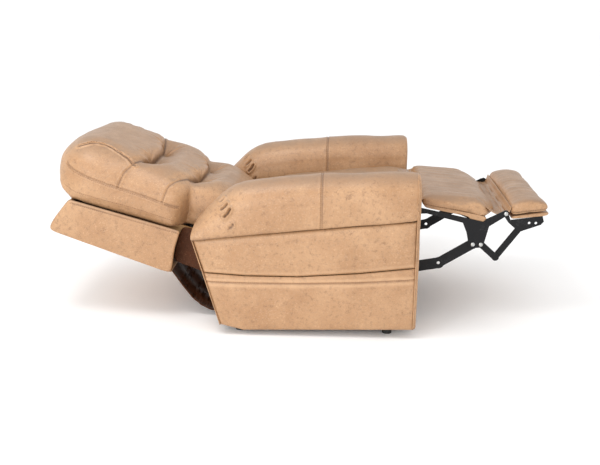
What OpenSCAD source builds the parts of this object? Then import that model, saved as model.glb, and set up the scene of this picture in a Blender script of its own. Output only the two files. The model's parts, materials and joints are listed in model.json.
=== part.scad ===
// Lift recliner chair, shown lowered, laid back and with the footrest out.
// Millimetres, Z up, X towards the feet, floor glides on Z = 0.
// Side views are drawn as [u, z]: u is measured forward from the arm fronts.

/* [Node to draw] */
// One sub-part by name, or all of them

/* [Seat and arms] */
// Width of the seat well between the two arms
seat_width = 510; // [440:5:640]
// Width of one arm over its roll
arm_width = 170; // [140:5:210]
// Height of the arm's crest at the front
arm_height = 595; // [560:5:660]
// Radius of the padded roll on top of the arm
roll_radius = 90; // [78:1:100]
// Length of the arm at the floor end of its rear edge
arm_length = 695; // [680:5:720]

/* [Back] */
// Length of the back from its hinge to the top of the shell
back_length = 659; // [620:5:760]
// Half of the width of the back's outer shell
shell_half = 322; // [300:2:380]
// Angle of the laid-back back above the floor
back_rise = 20.3; // [18:0.1:24]

/* [Footrest] */
// How far the outer pad reaches in front of the arms
foot_reach = 490; // [470:5:540]
// Half of the width of the two footrest pads
foot_half = 262; // [258:1:268]

/* [Mechanism] */
// Thickness of a pressed link or bracket plate
plate = 4; // [3:0.5:4.5]
// Radius of the rivets in the footrest linkage
rivet_radius = 5; // [3:0.5:7]
// Radius of the pins in the lifting frame
lift_pin_radius = 8; // [6:0.5:9]
// Width of the tubes that make the floor frame
floor_tube = 40; // [30:1:44]
// Radius of a floor glide
glide_radius = 18; // [12:1:19]

/* [Hidden] */
$fn = 64;
run_gap = 0.06;
open_gap = 0.6;
layer_step = plate + 1;
seat_half = seat_width / 2;
side_in = seat_half + 2;
side_out = side_in + 5;
layer_a = side_in - 1 - plate;
layer_b = layer_a - layer_step;
layer_c = layer_b - layer_step;
layer_d = layer_c - layer_step;
rail_mid = seat_half - 45;
bracket_in = rail_mid - plate / 2;
bracket_out = rail_mid + plate / 2;
front_link_in = bracket_out + 2;
rear_link_in = bracket_in - 2 - plate;
arm_in = seat_half + 15;
roll_in = seat_half + 5;
roll_out = roll_in + arm_width + 10;
roll_mid = (roll_in + roll_out) / 2;
board = 12;
arm_skin_out = roll_out - 2;
arm_board_out = arm_skin_out - 23;
arm_board_in = arm_board_out - 10;
cross_reach = arm_board_in - 10;

// pivots in the side view
back_pivot = [-670, 273];
foot_pivot = [15, 430];
pad_pivot = [333, 425];
crank_pivot = [-226, 331];
long_top = [221, 306];
long_shift = [-241, -99];
long_bend = [100, 229];
long_low = long_top + long_shift;
elbow = [309, 253];
brace_top = [392, 372];
elbow_top = elbow - (brace_top - pad_pivot);
lift_a0 = [-220, 89];
lift_a = [-471.6, 110];
lift_b0 = [-260, 110];
lift_b = [-600, 153];

// directions along and out of the laid-back back
back_dir = [-cos(back_rise), sin(back_rise)];
back_out = [sin(back_rise), cos(back_rise)];
shell_top = [back_length, -150];
u_min = back_pivot[0] + shell_top[0] * back_dir[0] + shell_top[1] * back_out[0];
u_max = foot_reach;
shift = -(u_min + u_max) / 2;

function bk(list) = [for (q = list) back_pivot + q[0] * back_dir + q[1] * back_out];

// a side-view outline made solid between two distances from the middle plane
module slab(y0, y1)
    translate([shift, y1, 0]) rotate([90, 0, 0]) linear_extrude(y1 - y0) children();

// a part and its mirror image on the other side
module both() {
    children();
    mirror([0, 1, 0]) children();
}

// a round-ended link outline between two pivots, its shank a little narrower than its eyes
module bar(p, q, r) {
    span = norm(q - p);
    lean = atan2(q[1] - p[1], q[0] - p[0]);
    translate(p) circle(r);
    translate(q) circle(r);
    translate(p) rotate(lean) translate([0, 1 - r]) square([span, 2 * r - 2]);
}

module hole(p, r) translate(p) circle(r);

module pin(p, r, y0, y1) slab(y0, y1) translate(p) circle(r);

module block(u0, u1, y0, y1, z0, z1)
    translate([u0 + shift, y0, z0]) cube([u1 - u0, y1 - y0, z1 - z0]);

/* floor frame */
rail_z = [20, 50];
front_tube_u = [-90 - floor_tube / 2, -90 + floor_tube / 2];
rear_tube_u = [-630 - floor_tube / 2, -630 + floor_tube / 2];
mid_tube_u = [-345, -315];

module floor_rails() color("#23211f")
    both() block(rear_tube_u[1], front_tube_u[0], rail_mid - 20, rail_mid + 20, 20, 50);

module floor_cross_tubes() color("#23211f") {
    block(front_tube_u[0], front_tube_u[1], -cross_reach, cross_reach, 20, 50);
    block(rear_tube_u[0], rear_tube_u[1], -cross_reach, cross_reach, 20, 50);
    block(mid_tube_u[0], mid_tube_u[1], -(rail_mid - 20), rail_mid - 20, 20, 50);
}

module floor_glides() color("#1a1a1a")
    both() for (u = [-90, -630])
        translate([u + shift, cross_reach - 20, 0]) cylinder(h = 20, r = glide_radius);

module lift_brackets() color("#1e1e1e") {
    both() slab(bracket_in, bracket_out) difference() {
        union() {
            polygon([[-305, 50], [-185, 50], [-198, 89], [-212, 108], [-248, 126], [-272, 122]]);
            translate(lift_a0) circle(22);
            translate(lift_b0) circle(18);
        }
        hole(lift_a0, 12 + run_gap);
    }
    both() pin(lift_b0, lift_pin_radius, rear_link_in - 2, bracket_in);
    for (y = [-34, 26]) slab(y, y + 8) difference() {
        polygon([[-648, 50], [-604, 50], [-606, 84], [-620, 91], [-634, 84]]);
        hole(motor_lift[0], 6 + run_gap);
    }
}

module power_box() color("#151515") difference() {
    block(-380, -290, -170, -70, 50, 88);
    translate([-305 + shift, -120, 66]) rotate([0, 90, 0]) cylinder(h = 16, r = 4);
}

/* lifting links */
module front_lift_links() color("#1e1e1e")
    both() slab(front_link_in, front_link_in + plate) difference() {
        bar(lift_a0, lift_a, 16);
        hole(lift_a, lift_pin_radius + run_gap);
    }

module lift_torque_tube() color("#262626") {
    slab(-front_link_in, front_link_in) translate(lift_a0) circle(12);
    for (y = [-14, 6]) slab(y, y + 8) bar(lift_a0, motor_lift[1], 14);
    pin(motor_lift[1], 6, -14, 14);
}

module rear_lift_links() color("#1e1e1e")
    both() slab(rear_link_in, rear_link_in + plate) difference() {
        bar(lift_b0, lift_b, 16);
        hole(lift_b0, lift_pin_radius + run_gap);
        hole(lift_b, lift_pin_radius + open_gap);
    }

/* linear motors: [barrel pivot, rod pivot, y, tube shift, tube end, rod start] */
motor_lift = [[-620, 75], lift_a0 + 90 * [cos(115), sin(115)], 0, 3.7, 300, 150];
motor_foot = [[-560, 275], crank_pivot + 40 * [cos(-45), sin(-45)], -110, -5.9, 235, 135];
motor_back = [[-350, 215], back_pivot + 70 * [cos(-67), sin(-67)], 110, 2.8, 225, 120];

module along(m) {
    lean = atan2(m[1][1] - m[0][1], m[1][0] - m[0][0]);
    translate([m[0][0] + shift, m[2], m[0][1]]) rotate([0, -lean, 0]) children();
}

module barrel(m) along(m) {
    difference() {
        union() {
            translate([0, 11, 0]) rotate([90, 0, 0]) cylinder(h = 22, r = 14);
            translate([0, -11, -12]) cube([62, 22, 24]);
        }
        translate([0, 12, 0]) rotate([90, 0, 0]) cylinder(h = 24, r = 6);
    }
    difference() {
        translate([50, -22, -22]) cube([24, 44, 44]);
        translate([49, -12, -13]) cube([13, 24, 26]);
        translate([62, 0, m[3]]) rotate([0, 90, 0]) cylinder(h = 20, r = 14);
    }
    translate([74, 0, m[3]]) rotate([0, 90, 0]) difference() {
        cylinder(h = m[4] - 74, r = 18);
        translate([0, 0, -1]) cylinder(h = m[4] - 72, r = 14);
    }
}

module barrel_pin(m, reach) along(m)
    translate([0, reach, 0]) rotate([90, 0, 0]) cylinder(h = 2 * reach, r = 6);

module rod(m) {
    span = norm(m[1] - m[0]);
    along(m) difference() {
        union() {
            translate([m[5], 0, 0]) rotate([0, 90, 0]) cylinder(h = span - m[5] - 6, r = 6);
            translate([span, 5, 0]) rotate([90, 0, 0]) cylinder(h = 10, r = 11);
        }
        translate([span, 6, 0]) rotate([90, 0, 0]) cylinder(h = 12, r = 6 + run_gap);
    }
}

module lift_motor() color("#2b2b2b") {
    barrel(motor_lift);
    barrel_pin(motor_lift, 34);
}
module lift_rod() color("#9a9a9a") rod(motor_lift);
module back_motor() color("#2b2b2b") {
    barrel(motor_back);
    barrel_pin(motor_back, 34);
}
module back_rod() color("#9a9a9a") rod(motor_back);
module foot_motor() color("#2b2b2b") {
    barrel(motor_foot);
    barrel_pin(motor_foot, 34);
}
module foot_rod() color("#9a9a9a") rod(motor_foot);

/* chassis */
tube_u = [[-495, -465], [-395, -365], [-115, -85]];
tube_z = [315, 345];

module side_plates() color("#1c1c1c") {
    both() slab(side_in, side_out) difference() {
        union() {
            polygon([[-700, 262], [-640, 243], [-300, 296], [-70, 298], [-48, 400], [6, 420],
                [8, 434], [-90, 424], [-130, 362], [-640, 362], [-694, 290]]);
            translate(back_pivot) circle(26);
            translate(foot_pivot) circle(12);
            translate(crank_pivot) circle(24);
        }
        hole(crank_pivot, 8 + run_gap);
    }
    both() pin(foot_pivot, rivet_radius, layer_a, side_in);
    both() pin(foot_pivot, 9, side_out, side_out + 3);
    both() pin(back_pivot, 8, seat_half - 26.5, side_in);
}

module chassis_tubes() color("#23211f")
    for (u = tube_u) block(u[0], u[1], -side_in, side_in, tube_z[0], tube_z[1]);

module chassis_lift_plates() color("#1c1c1c") {
    both() slab(bracket_in, bracket_out)
        polygon([[-495, 315], [-600, 182], [-618, 153], [-600, 134], [-500, 100], [-471, 92],
            [-452, 100], [-365, 300], [-365, 315]]);
    both() pin(lift_a, lift_pin_radius, bracket_out, front_link_in + plate + 2);
    both() pin(lift_b, lift_pin_radius, rear_link_in - 2, bracket_in);
}

module motor_hangers() color("#1c1c1c") {
    for (y = [-144, -84]) slab(y, y + 8) difference() {
        polygon([[-495, 315], [-465, 315], [-548, 262], [-562, 260], [-572, 274], [-562, 289]]);
        hole(motor_foot[0], 6 + run_gap);
    }
    for (y = [76, 136]) slab(y, y + 8) difference() {
        polygon([[-395, 315], [-365, 315], [-337, 222], [-340, 203], [-356, 201], [-364, 212]]);
        hole(motor_back[0], 6 + run_gap);
    }
}

module arm_brackets() color("#1c1c1c")
    both() for (u = [-480, -100]) block(u - 25, u + 25, side_out, arm_in, 305, 355);

box_half = seat_half - 25;
module seat_box_sides() color("#b08a5a")
    both() block(-477, -23, box_half - 18, box_half, 345, 400);

module seat_box_ends() color("#b08a5a") {
    block(-23, -5, -box_half, box_half, 345, 400);
    block(-495, -477, -box_half, box_half, 345, 400);
}

module seat_springs() color("#777777")
    for (i = [-3:3]) translate([-477 + shift, i * box_half / 4, 392])
        rotate([0, 90, 0]) cylinder(h = 454, r = 2);

module seat_cushion() color("#b98d5f") slab(-(seat_half - 5), seat_half - 5)
    polygon([[-508, 402], [-534, 428], [-520, 442], [-316, 464], [-150, 480], [-45, 488], [4, 480],
        [10, 462], [8, 402]]);

/* arms, drawn on the +Y side and mirrored */
rear_u = -arm_length;
crest = [[0, arm_height], [-330, arm_height - 10], [-618, arm_height - 44], [-694, arm_height - 88],
    [-800, arm_height - 205]];
seam_front = [0, arm_height - 155];
seam_rear = [-786, arm_height - 234];

module arm_outline() polygon([[0, 36], seam_front, seam_rear, [rear_u, 40], [-614, 20]]);

module arm_boards() {
    slab(arm_board_in, arm_board_out) arm_outline();
    slab(arm_in, arm_in + board)
        polygon([[0, 90], seam_front, [-770, arm_height - 234], [rear_u, 90]]);
}

module arm_end_boards() {
    slab(arm_in + board, arm_board_in)
        polygon([[-board, 36], [0, 36], seam_front, seam_front - [board, 1.5]]);
    slab(arm_in + board, arm_board_in)
        polygon([[rear_u, 40], [rear_u + board, 40], seam_rear + [board, 0.5], seam_rear]);
}

pocket_top = [[0, 227], [-413, 204], [-743, 204]];
hem = [[0, 272], [-413, 229], [-750, 239]];

module arm_skin() slab(arm_board_out, arm_skin_out)
    polygon([hem[0], seam_front, seam_rear, hem[2], hem[1]]);

module arm_pocket() difference() {
    slab(arm_board_out, arm_skin_out)
        polygon([[0, 36], pocket_top[0], pocket_top[1], pocket_top[2], [rear_u, 40], [-614, 20]]);
    slab(arm_board_out - 1, arm_skin_out - 4)
        polygon([[-15, 56], [-614, 46], [rear_u + 12, 62], [-726, 240], [-15, 240]]);
}

// a long padded bar under one straight run of the crest
module roll_run(p, q) {
    lean = atan2(p[1] - q[1], p[0] - q[0]);
    far = q - 500 * [cos(lean), sin(lean)];
    translate([far[0] + shift, roll_mid, far[1]]) rotate([0, -lean, 0])
        translate([0, 0, -roll_radius]) rotate([90, 0, 90])
            linear_extrude(norm(p - far) + 500) {
                circle(roll_radius);
                translate([-roll_radius, -500]) square([2 * roll_radius, 500]);
            }
}

module arm_roll() intersection() {
    roll_run(crest[0], crest[1]);
    roll_run(crest[1], crest[2]);
    roll_run(crest[2], crest[3]);
    roll_run(crest[3], crest[4]);
    slab(roll_in - 1, roll_out + 1) polygon([seam_front, seam_rear, crest[4],
        [crest[4][0], arm_height + 5], [0, arm_height + 5]]);
}

module arm_facing() translate([shift, roll_mid, 0]) rotate([90, 0, 90]) linear_extrude(8) {
    translate([0, arm_height - roll_radius]) circle(roll_radius - 5);
    translate([arm_in - roll_mid, 37])
        square([arm_skin_out - arm_in, arm_height - roll_radius - 37]);
}

module left_arm_boards() color("#b08a5a") arm_boards();
module left_arm_end_boards() color("#b08a5a") arm_end_boards();
module left_arm_skin() color("#b98d5f") arm_skin();
module left_arm_pocket() color("#b98d5f") arm_pocket();
module left_arm_roll() color("#b98d5f") arm_roll();
module left_arm_facing() color("#b98d5f") arm_facing();
module right_arm_boards() color("#b08a5a") mirror([0, 1, 0]) arm_boards();
module right_arm_end_boards() color("#b08a5a") mirror([0, 1, 0]) arm_end_boards();
module right_arm_skin() color("#b98d5f") mirror([0, 1, 0]) arm_skin();
module right_arm_pocket() color("#b98d5f") mirror([0, 1, 0]) arm_pocket();
module right_arm_roll() color("#b98d5f") mirror([0, 1, 0]) arm_roll();
module right_arm_facing() color("#b98d5f") mirror([0, 1, 0]) arm_facing();

/* hand control in the left pocket */
hand_y = arm_board_out + 0.5;
module handset() color("#202020") difference() {
    block(-110, -60, hand_y, hand_y + 14, 57, 195);
    for (z = [150, 115]) translate([-85 + shift, hand_y + 15, z]) rotate([90, 0, 0])
        cylinder(h = 7, r = 9.3);
}

module hand_button(z) translate([-85 + shift, hand_y + 16, z]) rotate([90, 0, 0])
    cylinder(h = 5, r = 9);

module up_button() color("#8a8a8a") hand_button(150);
module down_button() color("#8a8a8a") hand_button(115);

/* back, drawn in its own laid-back directions */
post_in = seat_half - 27;
post_out = seat_half - 15;
shell_s = back_length;
tier = [287, shell_s - 206];

module back_posts() color("#8f6c44") both() slab(post_in, post_out) difference() {
    polygon(bk([[-20, -26], [-20, 10], [tier[0], 10], [tier[1], -3], [shell_s - 60, -14],
        [shell_s - 60, -30], [20, -30]]));
    hole(back_pivot, 8 + run_gap);
}

module back_rails() color("#23211f") {
    slab(-post_in, post_in) translate(back_pivot) circle(12);
    for (s = [230, shell_s - 100]) slab(-(shell_half - 12), shell_half - 12)
        polygon(bk([[s, -55], [s + 30, -55], [s + 30, -30], [s, -30]]));
    for (y = [96, 116]) slab(y, y + 8) bar(back_pivot, motor_back[1], 14);
    pin(motor_back[1], 6, 96, 124);
}

module back_shell_sides() color("#b98d5f")
    both() slab(shell_half - 12, shell_half) polygon(bk([[182, -156], [shell_s - 14, -156],
        [shell_s, -150], [shell_s - 38, -20], [206, 12]]));

module back_shell_panel() color("#b98d5f") slab(-(shell_half - 12), shell_half - 12)
    polygon(bk([[182, -156], [shell_s - 14, -156], [shell_s, -150], [shell_s - 38, -20],
        [shell_s - 50, -24], [shell_s - 16, -144], [183, -144]]));

module shell_lining() color("#0d0d0d") slab(-(shell_half - 13), shell_half - 13)
    polygon(bk([[200, -143], [205, -143], [215, -56], [210, -56]]));

module back_stem_panels() color("#6d4a30") both() slab(post_out, post_out + 8)
    polygon(bk([[52, -134], [198, -134], [205, -57], [205, 12], [60, 14]]));

cushion_half = shell_half - 14;
module head_cushion() color("#b98d5f") slab(-cushion_half, cushion_half)
    polygon(bk([[tier[1] + 1, -2], [tier[1] - 8, 150], [tier[1] + 5, 186], [shell_s - 75, 208],
        [shell_s - 10, 180], [shell_s + 27, 115], [shell_s + 30, 60], [shell_s + 5, 12],
        [shell_s - 40, -14]]));

module shoulder_cushion() color("#b98d5f") slab(-cushion_half, cushion_half)
    polygon(bk([[tier[0] + 1, 11], [tier[0] - 8, 150], [tier[0] + 4, 182], [tier[0] + 80, 190],
        [tier[1] - 14, 184], [tier[1] - 10, 150], [tier[1], 0]]));

module lumbar_cushion() color("#b98d5f") {
    slab(-(seat_half - 12), seat_half - 12)
        polygon(bk([[-40, 30], [-42, 60], [-20, 98], [-18, 142], [0, 165], [100, 182], [tier[0] - 10, 182],
            [tier[0] - 9, 150], [tier[0], 15], [0, 18]]));
    both() slab(seat_half - 12, cushion_half)
        polygon(bk([[203, 18], [225, 87], [252, 150], [262, 180], [tier[0] - 10, 180],
            [tier[0] - 9, 150], [tier[0], 15]]));
}

flap_line = [[-926, 196], [-906, 187], [-868, 128], [-830, 75], [-795, 44], [-760, 26],
    [-720, 18], [-690, 21], [-668, 30]];
flap_half = arm_in - 5;
module back_flap() color("#7a4a30") slab(-flap_half, flap_half)
    polygon(concat([for (p = flap_line) p + [1, 3]],
        [for (i = [len(flap_line) - 1:-1:0]) flap_line[i]]));

module flap_straps() color("#1a1a1a") both() slab(160, 180)
    polygon([[-675, 30.5], [-671, 32.2], [-668, 260.9], [-672, 260.9]]);

/* footrest */
module foot_crank_links() color("#1c1c1c") {
    both() slab(layer_c, layer_c + plate) bar(crank_pivot, long_low, 15);
    both() pin(long_low, rivet_radius, layer_c + plate, layer_b + plate + 1);
    both() pin(long_low, 9, layer_b + plate + 1, layer_b + plate + 3);
}

module foot_torque_tube() color("#262626") {
    slab(-layer_c, layer_c) translate(crank_pivot) circle(12);
    both() pin(crank_pivot, 8, layer_c + plate, side_out + 1);
    for (y = [-124, -104]) slab(y, y + 8) bar(crank_pivot, motor_foot[1], 13);
    pin(motor_foot[1], 6, -124, -96);
}

module ottoman_board() color("#b08a5a") slab(-(foot_half - 13), foot_half - 13)
    polygon([[31, 443], [255, 394], [258, 406], [33, 455]]);

module ottoman_pad() color("#b98d5f") slab(-foot_half, foot_half)
    polygon([[34, 456], [24, 463], [24, 484], [38, 489], [160, 482], [248, 473], [280, 452], [306, 432],
        [298, 424], [259, 407]]);

module ottoman_brackets() color("#1c1c1c") {
    both() slab(layer_a, layer_a + plate) difference() {
        union() {
            polygon([[12, 419.5], [48, 421], [180, 388], [196, 350], [207, 300], [232, 292], [258, 294],
                [266, 330], [276, 376], [330, 413], [336, 436], [322, 433], [262, 402],
                [255, 393], [31, 441], [13, 440.5]]);
            translate(foot_pivot) circle(12);
            translate(pad_pivot) circle(11);
            translate(long_top) circle(15);
            translate(elbow_top) circle(13);
        }
        hole(foot_pivot, rivet_radius + run_gap);
    }
    both() for (p = [pad_pivot, long_top]) {
        pin(p, rivet_radius, layer_b - 1, layer_a);
        pin(p, 8, layer_b - 3, layer_b - 1);
        pin(p, 8, layer_a + plate, layer_a + plate + 2);
    }
    both() pin(elbow_top, rivet_radius, layer_c, layer_a);
    both() pin(elbow_top, 8, layer_a + plate, layer_a + plate + 2);
}

module long_links() color("#1c1c1c") both() slab(layer_b, layer_b + plate) difference() {
    union() {
        bar(long_top, long_bend, 20);
        bar(long_bend, long_low, 22);
    }
    hole(long_top, rivet_radius + run_gap);
    hole(long_low, rivet_radius + run_gap);
    hole(long_bend, 6);
}

module lower_elbow_links() color("#1c1c1c") {
    both() slab(layer_c, layer_c + plate) difference() {
        bar(elbow_top, elbow, 13);
        hole(elbow_top, rivet_radius + run_gap);
    }
    both() pin(elbow, rivet_radius, layer_d - 1, layer_c);
    both() pin(elbow, 8, layer_d - 3, layer_d - 1);
}

module extension_board() color("#b08a5a") slab(-(foot_half - 16), foot_half - 16)
    polygon([[352, 401], [foot_reach - 5, 421], [foot_reach - 6, 433], [350, 413]]);

module extension_pad() color("#b98d5f") slab(-foot_half, foot_half)
    polygon([[351, 414], [345, 440], [353, 470], [foot_reach - 70, 484], [foot_reach - 14, 474],
        [foot_reach, 458], [foot_reach - 3, 435]]);

module extension_brackets() color("#1c1c1c") {
    both() slab(layer_b, layer_b + plate) difference() {
        union() {
            polygon([[325, 418], [345, 390], [380, 360], [404, 362], [462, 384], [472, 396],
                [466, 417], [352, 400], [340, 433]]);
            translate(pad_pivot) circle(11);
            translate(brace_top) circle(14);
        }
        hole(pad_pivot, rivet_radius + run_gap);
        for (u = [420, 444]) hole([u, 390], 5);
    }
    both() pin(brace_top, rivet_radius, layer_d - 1, layer_b);
    both() pin(brace_top, 8, layer_d - 3, layer_d - 1);
}

module upper_elbow_links() color("#1c1c1c") both() slab(layer_d, layer_d + plate) difference() {
    bar(elbow, brace_top, 13);
    hole(elbow, rivet_radius + run_gap);
    hole(brace_top, rivet_radius + run_gap);
}

floor_rails();
floor_cross_tubes();
floor_glides();
lift_brackets();
power_box();
front_lift_links();
lift_torque_tube();
rear_lift_links();
lift_motor();
lift_rod();
side_plates();
chassis_tubes();
chassis_lift_plates();
motor_hangers();
arm_brackets();
seat_box_sides();
seat_box_ends();
seat_springs();
seat_cushion();
right_arm_boards();
right_arm_end_boards();
right_arm_skin();
right_arm_pocket();
right_arm_roll();
right_arm_facing();
left_arm_boards();
left_arm_end_boards();
left_arm_skin();
left_arm_pocket();
left_arm_roll();
left_arm_facing();
handset();
up_button();
down_button();
back_posts();
back_rails();
back_shell_sides();
back_shell_panel();
shell_lining();
back_stem_panels();
head_cushion();
shoulder_cushion();
lumbar_cushion();
back_flap();
flap_straps();
back_motor();
back_rod();
foot_crank_links();
foot_torque_tube();
foot_motor();
foot_rod();
ottoman_board();
ottoman_pad();
ottoman_brackets();
long_links();
lower_elbow_links();
extension_board();
extension_pad();
extension_brackets();
upper_elbow_links();
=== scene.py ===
import json
import math
import bpy
import bmesh
import numpy as np
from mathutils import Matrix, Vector, noise
from mathutils.bvhtree import BVHTree


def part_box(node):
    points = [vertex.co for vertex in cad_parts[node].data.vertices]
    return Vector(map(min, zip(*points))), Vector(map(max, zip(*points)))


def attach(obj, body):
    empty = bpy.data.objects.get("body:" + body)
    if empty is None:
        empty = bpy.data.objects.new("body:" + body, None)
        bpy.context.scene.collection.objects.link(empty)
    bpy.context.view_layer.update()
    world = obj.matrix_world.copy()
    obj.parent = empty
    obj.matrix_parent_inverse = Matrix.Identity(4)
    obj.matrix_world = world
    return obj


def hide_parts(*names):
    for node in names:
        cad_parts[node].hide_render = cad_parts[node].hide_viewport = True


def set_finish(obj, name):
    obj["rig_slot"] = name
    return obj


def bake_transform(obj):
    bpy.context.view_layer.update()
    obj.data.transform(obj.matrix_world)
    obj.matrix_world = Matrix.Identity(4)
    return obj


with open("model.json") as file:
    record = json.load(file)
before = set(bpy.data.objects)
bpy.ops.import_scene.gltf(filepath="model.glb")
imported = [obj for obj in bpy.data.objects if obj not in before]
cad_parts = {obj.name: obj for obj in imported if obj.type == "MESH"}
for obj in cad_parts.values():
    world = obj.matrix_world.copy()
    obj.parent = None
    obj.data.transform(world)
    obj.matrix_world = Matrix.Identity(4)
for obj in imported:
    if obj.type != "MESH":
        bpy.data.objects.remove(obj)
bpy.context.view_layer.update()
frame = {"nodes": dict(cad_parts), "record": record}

# ---------------------------------------------------------------- camera, floor and light
# The camera stands on the chair's right side, a little above it. The floor is plain and pale,
# and the light is a white surround with one broad soft panel in front and one above.
scene = bpy.context.scene
camera = bpy.data.objects.new("camera", bpy.data.cameras.new("camera"))
scene.collection.objects.link(camera)
camera.location = (0.17766, -3.0298, 1.2219)
camera.rotation_euler = (math.radians(72.3835), 0, math.radians(3.4825))
camera.data.lens = 47.06
camera.data.sensor_width = 36
scene.camera = camera
scene.view_settings.view_transform = "Standard"
scene.view_settings.look = "None"


def wire(tree, value, socket):
    if isinstance(value, (Sock, bpy.types.NodeSocket)):
        tree.links.new(getattr(value, "out", value), socket)
    else:
        socket.default_value = value


class Sock:
    """One output socket, on which shader maths can be written with ordinary operators."""
    def __init__(self, tree, out):
        self.tree, self.out = tree, out

    def op(self, kind, *args):
        n = self.tree.nodes.new("ShaderNodeMath")
        n.operation = kind
        for i, a in enumerate(args):
            wire(self.tree, a, n.inputs[i])
        return Sock(self.tree, n.outputs[0])

    def __add__(self, o): return self.op("ADD", self, o)
    def __radd__(self, o): return self.op("ADD", o, self)
    def __sub__(self, o): return self.op("SUBTRACT", self, o)
    def __rsub__(self, o): return self.op("SUBTRACT", o, self)
    def __mul__(self, o): return self.op("MULTIPLY", self, o)
    def __rmul__(self, o): return self.op("MULTIPLY", o, self)
    def __truediv__(self, o): return self.op("DIVIDE", self, o)
    def __pow__(self, o): return self.op("POWER", self, o)

    def ramp(self, low, high, a=0.0, b=1.0):
        return Finish.node(self.tree, "ShaderNodeMapRange", {"interpolation_type": "SMOOTHSTEP"},
                           {"Value": self, "From Min": low, "From Max": high, "To Min": a, "To Max": b})


class Finish:
    """A node material with one Principled shader."""
    def __init__(self, name):
        self.material = bpy.data.materials.new(name)
        self.material.use_nodes = True
        self.tree = self.material.node_tree
        self.shader = next(n for n in self.tree.nodes if n.type == "BSDF_PRINCIPLED")
        self.at = self.add("ShaderNodeTexCoord", out="Object")

    @staticmethod
    def node(tree, kind, props=(), inputs=(), out=0):
        n = tree.nodes.new(kind)
        for key, value in dict(props).items():
            setattr(n, key, value)
        for key, value in dict(inputs).items():
            wire(tree, value, n.inputs[key])
        return Sock(tree, n.outputs[out])

    def add(self, kind, props=(), inputs=(), out=0):
        return self.node(self.tree, kind, props, inputs, out)

    def noise(self, scale, detail=3.0, rough=0.55, distort=0.0, at=None):
        return self.add("ShaderNodeTexNoise", inputs={"Vector": at or self.at, "Scale": scale,
                        "Detail": detail, "Roughness": rough, "Distortion": distort})

    def cells(self, scale, feature="F1", at=None):
        return self.add("ShaderNodeTexVoronoi", {"feature": feature},
                        {"Vector": at or self.at, "Scale": scale}, "Distance")

    def stretch(self, x, y, z):
        return self.add("ShaderNodeMapping", inputs={"Vector": self.at, "Scale": (x, y, z)})

    def bands(self, direction, scale, distort=0.0):
        return self.add("ShaderNodeTexWave", {"wave_type": "BANDS", "bands_direction": direction},
                        {"Vector": self.at, "Scale": scale, "Distortion": distort}, "Fac")

    def attribute(self, name):
        return self.add("ShaderNodeAttribute", {"attribute_name": name}, out="Fac")

    def mix(self, amount, a, b):
        return self.add("ShaderNodeMix", {"data_type": "RGBA"}, {0: amount, 6: a, 7: b}, 2)

    def bump(self, height, strength, distance):
        return self.add("ShaderNodeBump", inputs={"Height": height, "Strength": strength,
                                                  "Distance": distance})

    def set(self, **values):
        for key, value in values.items():
            wire(self.tree, value, self.shader.inputs[key.replace("_", " ")])
        return self.material


def rgb(r, g, b):
    """A colour given as it looks on a screen, from 0 to 255, as linear light."""
    lin = [(c / 255 / 12.92 if c <= 10 else ((c / 255 + 0.055) / 1.055) ** 2.4) for c in (r, g, b)]
    return (*lin, 1.0)


floor_mesh = bpy.data.meshes.new("floor")
floor_mesh.from_pydata([(-40, -40, -0.0005), (40, -40, -0.0005), (40, 40, -0.0005), (-40, 40, -0.0005)],
                       [], [(0, 1, 2, 3)])
floor = bpy.data.objects.new("floor", floor_mesh)
scene.collection.objects.link(floor)
pale = Finish("pale_floor")
floor_mesh.materials.append(pale.set(
    Base_Color=pale.mix(pale.noise(0.8), rgb(250, 250, 250), rgb(253, 253, 253)), Roughness=0.9))

world = bpy.data.worlds.new("surround")
world.use_nodes = True
world.node_tree.nodes["Background"].inputs["Color"].default_value = (1, 1, 1, 1)
world.node_tree.nodes["Background"].inputs["Strength"].default_value = 1.06
scene.world = world


def lamp(name, place, aim, size, power):
    light = bpy.data.lights.new(name, "AREA")
    light.shape, light.size, light.size_y, light.energy = "RECTANGLE", size[0], size[1], power
    o = bpy.data.objects.new(name, light)
    o.location = place
    o.rotation_euler = (Vector(aim) - Vector(place)).to_track_quat("-Z", "Y").to_euler()
    scene.collection.objects.link(o)
    return o


lamp("front_panel", (-1.3, -3.2, 1.3), (0.0, 0, 0.3), (2.2, 1.6), 41)
lamp("top_panel", (-0.7, -1.0, 2.5), (-0.1, -0.3, 0.5), (1.0, 0.7), 20)

# ---------------------------------------------------------------- floor frame and lifting links
# Welded rectangular tube and pressed plate, sprayed satin black, on black plastic glides.
# The side-view directions of the CAD are kept: u runs forward from the arm fronts, in mm.
ZERO_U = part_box("right_arm_facing")[0][0]


def brighter(tone, by):
    return rgb(*[min(255, c + by) for c in tone])


def steel(name, tone, gloss):
    f = Finish(name)
    dust = f.noise(22, 5, 0.6)
    scuff = f.noise(260, 2, 0.5, 0.4)
    worn = (dust * scuff).ramp(0.30, 0.42)
    return f.set(Base_Color=f.mix(worn, rgb(*tone), brighter(tone, 22)),
                 Metallic=0.0, Roughness=gloss + 0.18 * dust, Specular_IOR_Level=0.2,
                 Coat_Weight=0.06, Coat_Roughness=0.35,
                 Normal=f.bump(f.noise(900, 2, 0.5), 0.12, 0.0003))


def plastic(name, tone, gloss):
    f = Finish(name)
    fine = f.noise(1400, 2, 0.5)
    return f.set(Base_Color=f.mix(f.noise(35, 3), rgb(*tone), brighter(tone, 9)),
                 Roughness=gloss + 0.12 * fine, Normal=f.bump(fine, 0.18, 0.0002))


finishes = {
    "black_steel": steel("black_steel", (22, 22, 24), 0.42),
    "glide_plastic": plastic("glide_plastic", (24, 24, 25), 0.45),
    "motor_plastic": plastic("motor_plastic", (46, 47, 50), 0.42),
    "key_plastic": plastic("key_plastic", (150, 152, 156), 0.4),
}

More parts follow.
